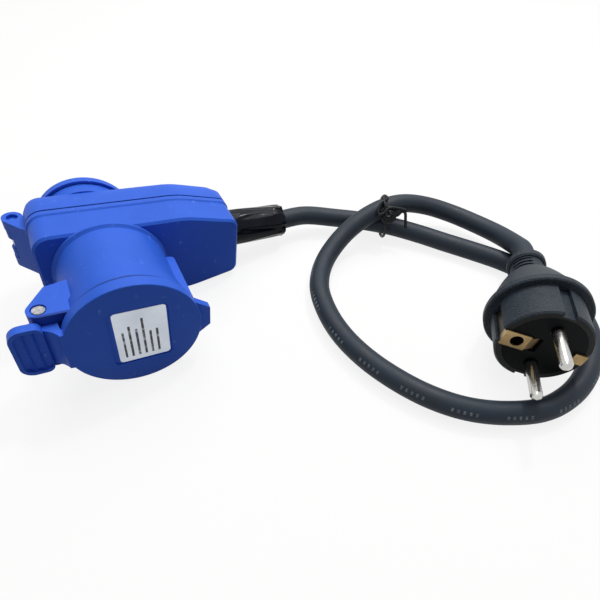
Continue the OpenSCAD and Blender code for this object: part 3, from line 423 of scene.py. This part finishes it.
def cableFinish(c):
    mat, tree, bsdf = startFinish("cableRubber")
    uv = addNode(tree, "UVMap", uv_map="alongAround").outputs["UV"]
    coords = objectCoords(tree)
    stretch = addNode(tree, "Mapping")
    stretch.inputs["Scale"].default_value = c["lineStretch"]
    tree.links.new(uv, stretch.inputs["Vector"])
    lines = noiseOf(tree, stretch.outputs["Vector"], 1.0)
    dust = noiseOf(tree, coords, c["dust"], detail=5.0, roughness=0.65)
    grains = noiseOf(tree, coords, c["grain"], detail=2.0)
    skin = mixOf(tree, rangeOf(tree, dust, 0.0, 1.0), c["clean"], c["dusty"])
    # ticks: short pale marks in groups, on one line along the outside of the loop
    axes = axesOf(tree, uv)
    along, around = axes["X"], axes["Y"]
    onLine = mathOf(tree, "LESS_THAN", awayFrom(tree, around, c["tickPlace"]), c["tickHalf"])
    inGroup = repeatOf(tree, along, c["groupPitch"], c["groupShare"])
    onTick = repeatOf(tree, along, c["tickPitch"], c["tickShare"])
    faded = rangeOf(tree, noiseOf(tree, coords, c["fading"]), *c["tickLeft"])
    tickInk = productOf(tree, onLine, inGroup, onTick, faded)
    tree.links.new(mixOf(tree, tickInk, skin, c["tickColour"]), bsdf.inputs["Base Color"])
    tree.links.new(rangeOf(tree, dust, *c["rough"]), bsdf.inputs["Roughness"])
    bsdf.inputs["Specular IOR Level"].default_value = c["specular"]
    linePart = productOf(tree, lines, c["lineShare"])
    grainPart = productOf(tree, grains, 1.0 - c["lineShare"])
    bumpOf(tree, bsdf, mathOf(tree, "ADD", linePart, grainPart), c["depth"], strength=0.7)
    return mat


finishes = {name: mouldedFinish(name, facts) for name, facts in mouldedFinishes.items()}
finishes.update({name: metalFinish(name, facts) for name, facts in metalFinishes.items()})
finishes["sleeveGloss"] = sleeveFinish(sleeveSkin)
finishes["cableRubber"] = cableFinish(cableSkin)
print("finishes made:", len(finishes))


# surfaces: points in rows and columns become quads, and every row closes on itself

def gridQuads(rows, columns):
    row = np.arange(rows - 1)[:, None] * columns
    column = np.arange(columns)[None, :]
    following = (column + 1) % columns
    above = row + columns
    corners = [row + column, row + following, above + following, above + column]
    return np.stack(corners, -1).reshape(-1, 4)


def gridUv(rows, columns, rowValues):
    # u is the row's own value, v the share of the way round; the last column ends at 1, not 0
    shape = (rows - 1, columns)
    u = np.broadcast_to(rowValues[:-1, None], shape)
    uNext = np.broadcast_to(rowValues[1:, None], shape)
    v = np.broadcast_to(np.arange(columns)[None, :] / columns, shape)
    vNext = v + 1.0 / columns
    corners = [np.stack(pair, -1) for pair in ((u, v), (u, vNext), (uNext, vNext), (uNext, v))]
    return np.stack(corners, 2).reshape(-1, 2)


def addPiece(name, points, faces, finish, body, uv=None):
    mesh = bpy.data.meshes.new(name)
    mesh.from_pydata((points * mm).tolist(), [], faces)
    mesh.update()
    if uv is not None:
        layer = mesh.uv_layers.new(name="alongAround")
        padded = np.zeros((len(mesh.loops), 2), np.float32)
        padded[:len(uv)] = uv
        layer.data.foreach_set("uv", padded.ravel())
    mesh.shade_smooth()
    mesh.materials.append(finish)
    obj = addObject(name, mesh)
    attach(obj, body)
    return obj


def smoothPath(points, perSpan):
    # Catmull-Rom: each span blends its two ends and their two neighbours by cubic weights
    p = np.asarray(points, float)
    around = np.vstack([p[:1], p, p[-1:]])
    a, b, c, d = (q[:, None, :] for q in (around[:-3], around[1:-2], around[2:-1], around[3:]))
    t = (np.arange(perSpan) / perSpan)[None, :, None]
    slope = c - a
    bend = 2 * a - 5 * b + 4 * c - d
    twist = 3 * b - a - 3 * c + d
    curve = 0.5 * (2 * b + slope * t + bend * t ** 2 + twist * t ** 3)
    return np.vstack([curve.reshape(-1, 3), p[-1:]])


def unitRows(v):
    return v / np.linalg.norm(v, axis=-1, keepdims=True)


def sweptTube(path, radius, columns, ref):
    # a circle carried along the path: its plane is square to the path, its first axis square to ref
    tangent = unitRows(np.gradient(path, axis=0))
    side = unitRows(np.cross(tangent, np.broadcast_to(ref, path.shape)))
    up = np.cross(side, tangent)
    angle = (2 * np.pi * np.arange(columns) / columns)[None, :, None]
    rim = np.cos(angle) * side[:, None, :] + np.sin(angle) * up[:, None, :]
    points = path[:, None, :] + radius * rim
    steps = np.linalg.norm(np.diff(path, axis=0), axis=1)
    along = np.concatenate([[0.0], np.cumsum(steps)])
    return points.reshape(-1, 3), along


def tubeFaces(rows, columns):
    quads = gridQuads(rows, columns).tolist()
    start = list(range(columns))[::-1]
    end = [(rows - 1) * columns + k for k in range(columns)]
    return quads + [start, end]


# the coupler leans on its lid's rim; box places become row places
coupler = {
    "lean": 0.156986,
    "axisHeight": 26.0,
    "origin": (23.546, -19.5),
    "exitDepth": -2.5,
}


def placed(p):
    # turned by the lean about y, then moved so that the origin lies under the coupler
    c, s = math.cos(coupler["lean"]), math.sin(coupler["lean"])
    p = np.asarray(p, float)
    return np.stack([
        p[..., 0] * c + p[..., 2] * s - coupler["origin"][0],
        p[..., 1] - coupler["origin"][1],
        coupler["axisHeight"] - p[..., 0] * s + p[..., 2] * c,
    ], -1)


# cable: one loop on the floor, under the plug's neck and over itself at the tie
cable = {
    "radius": 4.95,
    "sleeveEnd": 89.5,
    "startInside": 4.0,
    "columns": 28,
    "perSpan": 8,
    "route": [
        (80, 16.6, 10.4), (95.5, 9.5, 8.4), (108.5, 1.5, 7.4), (120.5, -9, 7),
        (131.5, -20.5, 6), (141.5, -33, 5.2), (151, -46, 5.1), (159.5, -59, 5.1),
        (166, -73.5, 5.1), (168.5, -89.5, 5.1), (166, -105.5, 5.1), (157.5, -119.5, 5.1),
        (144.5, -129.5, 5.1), (129.5, -135, 5.1), (113.5, -135.5, 5.1), (98.5, -130, 5.1),
        (85, -121, 5.1), (74.5, -109, 5.1), (66.5, -94.5, 5.1), (61, -79, 5.1),
        (58.5, -63, 5.1), (59.5, -47, 5.1), (64, -31.5, 5.1), (74, -18, 5.8),
        (88, -9.5, 10), (102.5, -5.8, 14.6), (116.5, -5, 17.5), (130.5, -5.2, 16.4),
        (144, -9.5, 13.2), (155, -18.5, 10.4), (162.5, -31, 9.4), (165.8, -45, 10.8),
        (164.3, -58.5, 14.2), (161.4, -65.6, 16.6), (154.5, -74.2, 17.8),
    ],
}


def addCable(c):
    # a round tube along the route, from inside the sleeve to the plug's neck
    start = placed([
        (c["sleeveEnd"] - c["startInside"], coupler["exitDepth"], 0.0),
        (c["sleeveEnd"], coupler["exitDepth"], 0.0),
    ])
    path = smoothPath(np.vstack([start, c["route"]]), c["perSpan"])
    points, along = sweptTube(path, c["radius"], c["columns"], (0.0, 0.0, 1.0))
    faces = tubeFaces(len(path), c["columns"])
    uv = gridUv(len(path), c["columns"], along * mm)
    piece = addPiece("cableTube", points, faces, finishes["cableRubber"], "housing", uv)
    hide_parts("cable")
    return piece, path, float(along[-1]) * mm


cablePiece, cablePath, cableLength = addCable(cable)
print("cable laid:", round(cableLength, 4), "m")


# shrink sleeve: a tube whose radius wanders with lengthwise creases and a crumpled end
sleeve = {
    "start": 55.1,
    "end": 89.5,
    "radius": 9.05,
    "bore": 5.02,
    "rows": 120,
    "columns": 144,
    "inBox": 0.14,  # share of the length inside the box, round and plain
    "rise": 0.2,  # share over which the creases grow
    "creases": [  # angle, drift along the sleeve, height
        (0.35, 0.9, 0.30), (1.25, 0.5, 0.34), (1.9, -0.4, 0.22),
        (2.6, 0.3, 0.3), (3.7, -0.5, 0.26), (5.1, 0.6, 0.3),
    ],
    "driftFrom": 0.3,
    "ridgeWidth": 0.09,
    "valley": {"depth": 0.6, "beside": 0.24, "width": 0.16},
    "crumpleFrom": 0.8,
    "crumples": [(0.22, 7, 9), (0.16, 13, -21)],  # height, waves round, waves along
    "narrowing": 0.9,
    "narrowFrom": 0.3,
    "proud": 0.1,
    "lip": [(0.5, 1.6), (2.5, 0.0)],  # back from the end, out from the bore
    "lipTurn": 0.25,
}


def rampFrom(share, start, length):
    # 0 up to the start, then straight up to 1
    return np.clip((share - start) / length, 0.0, 1.0)


def addSleeve(c):
    # radius by the share of the length and the angle round: a cylinder with creases, a crumpled end
    # and a narrowing, held to little more than the cylinder
    share = np.linspace(0.0, 1.0, c["rows"])[:, None]
    angle = (2 * np.pi * np.arange(c["columns"]) / c["columns"])[None, :]
    radius = np.full((c["rows"], c["columns"]), c["radius"])
    outside = rampFrom(share, c["inBox"], c["rise"])
    valley = c["valley"]
    for place, drift, height in c["creases"]:
        # a narrow ridge along the sleeve with a shallow valley beside it
        away = np.angle(np.exp(1j * (angle - place - drift * (share - c["driftFrom"]))))
        ridge = np.exp(-(away / c["ridgeWidth"]) ** 2)
        dip = valley["depth"] * np.exp(-((away - valley["beside"]) / valley["width"]) ** 2)
        radius = radius + outside * height * (ridge - dip)
    crumple = rampFrom(share, c["crumpleFrom"], 1.0 - c["crumpleFrom"])
    for height, wavesRound, wavesAlong in c["crumples"]:
        radius = radius + crumple * height * np.sin(wavesRound * angle + wavesAlong * share)
    radius = radius - c["narrowing"] * rampFrom(share, c["narrowFrom"], 1.0 - c["narrowFrom"])
    widest = np.where(share < c["inBox"], c["radius"], c["radius"] + c["proud"])
    radius = np.minimum(radius, widest)
    along = c["start"] + (c["end"] - c["start"]) * np.broadcast_to(share, radius.shape)
    # the lip: the wall turns in at the end and runs back inside to the cable
    lipAlong = [along[-1]] + [along[-1] - back for back, out in c["lip"]]
    lipRadius = [radius[-1] - c["lipTurn"]]
    lipRadius += [np.full(c["columns"], c["bore"] + out) for back, out in c["lip"]]
    along = np.vstack([along] + lipAlong)
    radius = np.vstack([radius] + lipRadius)
    turn = np.broadcast_to(angle, radius.shape)
    inBox = np.stack([along, coupler["exitDepth"] + radius * np.cos(turn), radius * np.sin(turn)], -1)
    points = placed(inBox).reshape(-1, 3)
    faces = gridQuads(len(radius), c["columns"])[:, ::-1].tolist() + [list(range(c["columns"]))]
    piece = addPiece("shrinkSleeve", points, faces, finishes["sleeveGloss"], "housing")
    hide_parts("shrink_sleeve")


addSleeve(sleeve)
print("sleeve made")


# twist tie: a coated wire once round both strands, with a curl in front and two loose ends
tie = {
    "middle": (117.0, -5.6, 12.3),
    "heading": math.radians(-19.0),
    "halfWidth": 9.6,
    "halfHeight": 11.4,
    "shift": 2.4,
    "radius": 0.8,
    "columns": 12,
    "ringPoints": 25,
    "perSpan": 4,
    "squareTo": (0.0, 1.0, 0.8),
    "curl": {
        "middle": (115.1, -12.9, 18.4),
        "right": (0.887, -0.462, 0.0),
        "up": (0.35, 0.70, 0.62),
        "forward": (-0.31, -0.55, 0.78),
        "radius": 4.6,
        "turns": 3.0,
        "windIn": 0.76,
        "advance": 1.7,
        "points": 36,
    },
    "wireEnd": [(121.5, -21.0, 13.5), (122.6, -18.5, 16.6), (123.4, -16.2, 19.4), (122.2, -14.6, 19.6)],
    "bandEnd": [
        (113.6, -7.2, 23.2), (109.8, -10.4, 20.2), (111.4, -12.2, 19.8), (115.6, -11.6, 21.8),
        (120.2, -13.4, 21.6), (124.4, -16.0, 20.4),
    ],
}


def tiePlaces(c, local):
    # local is across the strands, along them, and up
    local = np.asarray(local, float)
    across, along, up = local[:, 0], local[:, 1], local[:, 2]
    cosine, sine = math.cos(c["heading"]), math.sin(c["heading"])
    turned = np.stack([cosine * along - sine * across, sine * along + cosine * across, up], -1)
    return np.asarray(c["middle"]) + turned


def tieCurl(k):
    # a spiral in the plane of right and up that winds in and comes forward a little
    share = np.linspace(0.0, 1.0, k["points"])[:, None]
    angle = 2 * np.pi * k["turns"] * share
    radius = k["radius"] * (1.0 - k["windIn"] * share)
    right, up, forward = (np.asarray(k[axis]) for axis in ("right", "up", "forward"))
    spiral = radius * (np.cos(angle) * right + np.sin(angle) * up)
    return np.asarray(k["middle"]) + spiral + k["advance"] * share * forward


def addTie(c):
    # wire end, curl, an oval ring round the strands and the band's end, joined as one path
    turn = np.linspace(0.5 * np.pi, 2.5 * np.pi, c["ringPoints"])
    ring = np.stack([
        c["halfWidth"] * np.cos(turn),
        c["shift"] * np.linspace(-0.5, 0.5, c["ringPoints"]),
        c["halfHeight"] * np.sin(turn),
    ], -1)
    corners = np.vstack([c["wireEnd"], tieCurl(c["curl"]), tiePlaces(c, ring), c["bandEnd"]])
    path = smoothPath(corners, c["perSpan"])
    ref = tiePlaces(c, [c["squareTo"]])[0] - np.asarray(c["middle"])
    points, along = sweptTube(path, c["radius"], c["columns"], ref)
    faces = tubeFaces(len(path), c["columns"])
    piece = addPiece("twistTie", points, faces, finishes["tieCoating"], "housing")
    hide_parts("twist_tie")
    return piece


tiePiece = addTie(tie)
print("tie made")


# mouldings: the CAD shape with its edges rounded over, so that they catch the light
mouldings = {
    "front_shell": {
        "name": "frontShell", "body": "housing", "slot": "blue_housing",
        "finish": "blueMoulding", "edge": 0.45,
    },
    "back_shell": {
        "name": "backShell", "body": "housing", "slot": "blue_housing",
        "finish": "blueMoulding", "edge": 0.45,
    },
    "cee_collar": {
        "name": "roundCollar", "body": "housing", "slot": "blue_housing",
        "finish": "collarBlue", "edge": 0.35,
    },
    "cee_lid": {
        "name": "roundLid", "body": "round_lid", "slot": "blue_housing",
        "finish": "blueMoulding", "edge": 0.4,
    },
    "schuko_lid": {
        "name": "backLid", "body": "household_lid", "slot": "blue_housing",
        "finish": "blueMoulding", "edge": 0.4,
    },
    "plug_body": {
        "name": "plugMoulding", "body": "housing", "slot": "plug_black",
        "finish": "plugBlack", "edge": 0.3,
    },
}
rounding = {
    "merge": 2e-6,
    "flat": math.radians(0.4),
    "sharp": math.radians(28.0),
    "segments": 3,
}

# round lid: the edge of its face is crisper than the solid's, in box places
lidEdge = {"radius": 26.0, "face": -62.0, "round": 1.4, "crisp": 0.5, "slack": 0.02}

# front half: the step below its lip is a soft ramp, in box places
lipRamp = {"step": -2.4, "ramp": 0.8, "front": 0.96, "slack": 0.02}


def meshPoints(mesh):
    points = np.empty(3 * len(mesh.vertices), np.float32)
    mesh.vertices.foreach_get("co", points)
    return points.reshape(-1, 3)


def crispEdge(mesh, c):
    # a point on the edge's quarter circle keeps its angle and moves to a smaller one, nearer the corner
    points = meshPoints(mesh).astype(float)
    axis = placed((0.0, c["face"], 0.0)) * mm
    centre = axis[[0, 2]]
    away = points[:, (0, 2)] - centre
    radius = np.linalg.norm(away, axis=1)
    out = (radius / mm - c["radius"] + c["round"]) / c["round"]
    forward = ((axis[1] - points[:, 1]) / mm + c["round"]) / c["round"]
    onCircle = np.abs(np.hypot(out, forward) - 1.0) < c["slack"]
    onEdge = onCircle & (out > -0.5 * c["slack"]) & (forward > -0.5 * c["slack"])
    wanted = (c["radius"] - c["crisp"] + c["crisp"] * out) * mm
    moved = centre + away * (wanted / radius)[:, None]
    points[:, (0, 2)] = np.where(onEdge[:, None], moved, points[:, (0, 2)])
    points[:, 1] = np.where(onEdge, axis[1] + (c["crisp"] - c["crisp"] * forward) * mm, points[:, 1])
    mesh.vertices.foreach_set("co", points.astype(np.float32).ravel())
    print("lid edge points moved:", int(onEdge.sum()))


def softStep(mesh, c):
    # the foot of the step is every point there that has an edge running on to the front; it moves forward
    points = meshPoints(mesh)
    edges = np.empty(2 * len(mesh.edges), np.int32)
    mesh.edges.foreach_get("vertices", edges)
    edges = edges.reshape(-1, 2)
    edges = np.vstack([edges, edges[:, ::-1]])
    depth = points[:, 1] / mm + coupler["origin"][1] - c["step"]
    atStep = np.abs(depth) < c["slack"]
    toFront = depth[edges[:, 1]] < -c["front"]
    foot = np.unique(edges[atStep[edges[:, 0]] & toFront, 0])
    points[foot, 1] -= c["ramp"] * mm
    mesh.vertices.foreach_set("co", points.ravel())
    print("lip points moved:", len(foot), "of", int(atStep.sum()))


def addMoulding(node, c):
    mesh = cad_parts[node].data.copy()
    mesh.name = c["name"]
    work = bmesh.new()
    work.from_mesh(mesh)
    bmesh.ops.remove_doubles(work, verts=work.verts, dist=rounding["merge"])
    if node == "front_shell":
        # while its faces are still triangles, so that the ramp's faces stay flat
        work.to_mesh(mesh)
        softStep(mesh, lipRamp)
        work.clear()
        work.from_mesh(mesh)
    bmesh.ops.dissolve_limit(work, angle_limit=rounding["flat"], verts=work.verts, edges=work.edges)
    work.to_mesh(mesh)
    work.free()
    if node == "cee_lid":
        crispEdge(mesh, lidEdge)
    for extra in ("custom_normal", "sharp_edge", "sharp_face"):
        if extra in mesh.attributes:
            mesh.attributes.remove(mesh.attributes[extra])
    mesh.materials.clear()
    mesh.materials.append(finishes[c["finish"]])
    mesh.shade_smooth()
    piece = addObject(c["name"], mesh)
    rounded = piece.modifiers.new("roundedEdges", "BEVEL")
    rounded.width = c["edge"] * mm
    rounded.segments = rounding["segments"]
    rounded.limit_method = "ANGLE"
    rounded.angle_limit = rounding["sharp"]
    rounded.harden_normals = True
    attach(piece, c["body"])
    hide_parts(node)
    return piece


mouldingPieces = {node: addMoulding(node, facts) for node, facts in mouldings.items()}
print("mouldings rounded:", len(mouldingPieces))


# hinge web: a short wall on the collar behind the lid's lug, where the spring rests, in box places
hingeWeb = {
    "outline": [(-28.0, -43.4), (-28.0, -45.0), (-27.4, -45.6), (-23.2, -45.6), (-23.2, -43.4)],
    "halfHeight": 9.4,
}


def addHingeWeb(c):
    # the outline in plan, carried straight up from the lower ear to the upper one
    plan = np.asarray(c["outline"], float)
    heights = (-c["halfHeight"], c["halfHeight"])
    points = placed(np.vstack([np.column_stack([plan, np.full(len(plan), z)]) for z in heights]))
    faces = tubeFaces(len(heights), len(plan))
    piece = addPiece("hingeWeb", points, faces, finishes["blueMoulding"], "housing")
    piece.data.shade_flat()


addHingeWeb(hingeWeb)
print("hinge web made")


# the other CAD nodes keep their shape and get a finish
finishes["labelFoil"] = labelFinish(label)
nodeFinishes = {
    "sealRubber": ("parting_seal", "lid_seal", "schuko_seal"),
    "insertBlack": ("contact_carrier", "plug_bridge", "cable_clamp"),
    "contactBrass": ("line_contact", "neutral_contact", "earth_contact",
                     "upper_socket_contact", "lower_socket_contact", "earth_strap"),
    "plugBrass": ("plug_earth_plate", "plug_earth_clip"),
    "pinNickel": ("upper_plug_pin", "lower_plug_pin"),
    "platedSteel": ("shell_screws", "clamp_screws", "lid_spring", "schuko_spring"),
    "wornSteel": ("lid_pin",),
    "blueMoulding": ("schuko_pin",),
    "labelFoil": ("label_plate",),
}


def dressNode(node, finish):
    if node.material_slots:
        for place in node.material_slots:
            place.material = finish
    else:
        node.data.materials.append(finish)


for finishName, nodeNames in nodeFinishes.items():
    for nodeName in nodeNames:
        dressNode(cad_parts[nodeName], finishes[finishName])
print("finishes on CAD nodes:", sum(map(len, nodeFinishes.values())))


# floor and light: white paper under soft daylight
floor = {
    "half": 3000.0,
    "height": -0.2,
    "paper": 0.86,
    "bounce": 0.38,
    "glow": 0.85,
}


def seenDirectly(tree):
    # 1 for the rays of the camera, of metal and of glass, 0 for those that only light the object
    rays = addNode(tree, "LightPath").outputs
    cameraOrGlossy = mathOf(tree, "MAXIMUM", rays["Is Camera Ray"], rays["Is Glossy Ray"])
    return mathOf(tree, "MAXIMUM", cameraOrGlossy, rays["Is Transmission Ray"])


def mixShaders(tree, factor, first, second):
    node = addNode(tree, "MixShader")
    feed(tree, node.inputs[0], factor)
    tree.links.new(first, node.inputs[1])
    tree.links.new(second, node.inputs[2])
    return node.outputs[0]


def whiteFloor(c):
    mat, tree, bsdf = startFinish("paleFloor")
    tree.nodes.remove(bsdf)
    diffuse = addNode(tree, "BsdfDiffuse", Color=(c["paper"], c["paper"], c["paper"], 1.0))
    bounce = addNode(tree, "BsdfDiffuse", Color=(c["bounce"], c["bounce"], c["bounce"], 1.0))
    glow = addNode(tree, "Emission", Color=(1.0, 1.0, 1.0, 1.0), Strength=1.0)
    paper = mixShaders(tree, c["glow"], diffuse.outputs[0], glow.outputs[0])
    choice = mixShaders(tree, seenDirectly(tree), bounce.outputs[0], paper)
    tree.links.new(choice, tree.nodes["Material Output"].inputs["Surface"])
    return mat


def addFloor(c):
    half, z = c["half"], c["height"]
    corners = np.array([(-half, -half, z), (half, -half, z), (half, half, z), (-half, half, z)]) * mm
    mesh = bpy.data.meshes.new("floor")
    mesh.from_pydata(corners.tolist(), [], [(0, 1, 2, 3)])
    mesh.materials.append(whiteFloor(c))
    obj = addObject("floor", mesh)


# lamps, in metres and watts
lampTarget = (0.04, -0.04, 0.02)
lampUpright = (0.0, 1.0, 0.001)  # a little off the y axis, so that no lamp lies along it
lamps = {
    "window": {"place": (0.36, 0.10, 0.55), "size": 0.05, "power": 1.2, "colour": (1.0, 1.0, 1.0)},
    "sky": {"place": (0.24, 0.28, 0.85), "size": 0.9, "power": 8.8, "colour": (1.0, 0.99, 0.97)},
    "fill": {"place": (-0.55, -0.55, 0.45), "size": 0.7, "power": 0.2, "colour": (0.95, 0.97, 1.0)},
}
worldLight = 0.2


def addLamp(name, facts):
    data = bpy.data.lights.new(name, "AREA")
    data.size = facts["size"]
    data.energy = facts["power"]
    data.color = facts["colour"]
    # a lamp shines along its own -z, so its z points back from the target
    back = unitRows(np.array(facts["place"]) - np.array(lampTarget))
    side = unitRows(np.cross(lampUpright, back))
    addObject(name, data).matrix_world = poseOf(side, np.cross(back, side), back, facts["place"])


def addWorld(light):
    # white where it is seen, and a fraction of that as light on the object
    world = bpy.data.worlds.new("paleSky")
    world.use_nodes = True
    scene.world = world
    tree = world.node_tree
    strength = mathOf(tree, "ADD", productOf(tree, seenDirectly(tree), 1.0 - light), light)
    backdrop = tree.nodes["Background"]
    backdrop.inputs["Color"].default_value = (1.0, 1.0, 1.0, 1.0)
    tree.links.new(strength, backdrop.inputs["Strength"])


addFloor(floor)
for lampName, lampFacts in lamps.items():
    addLamp(lampName, lampFacts)
addWorld(worldLight)
scene.view_settings.view_transform = "Standard"
print("floor and light set")
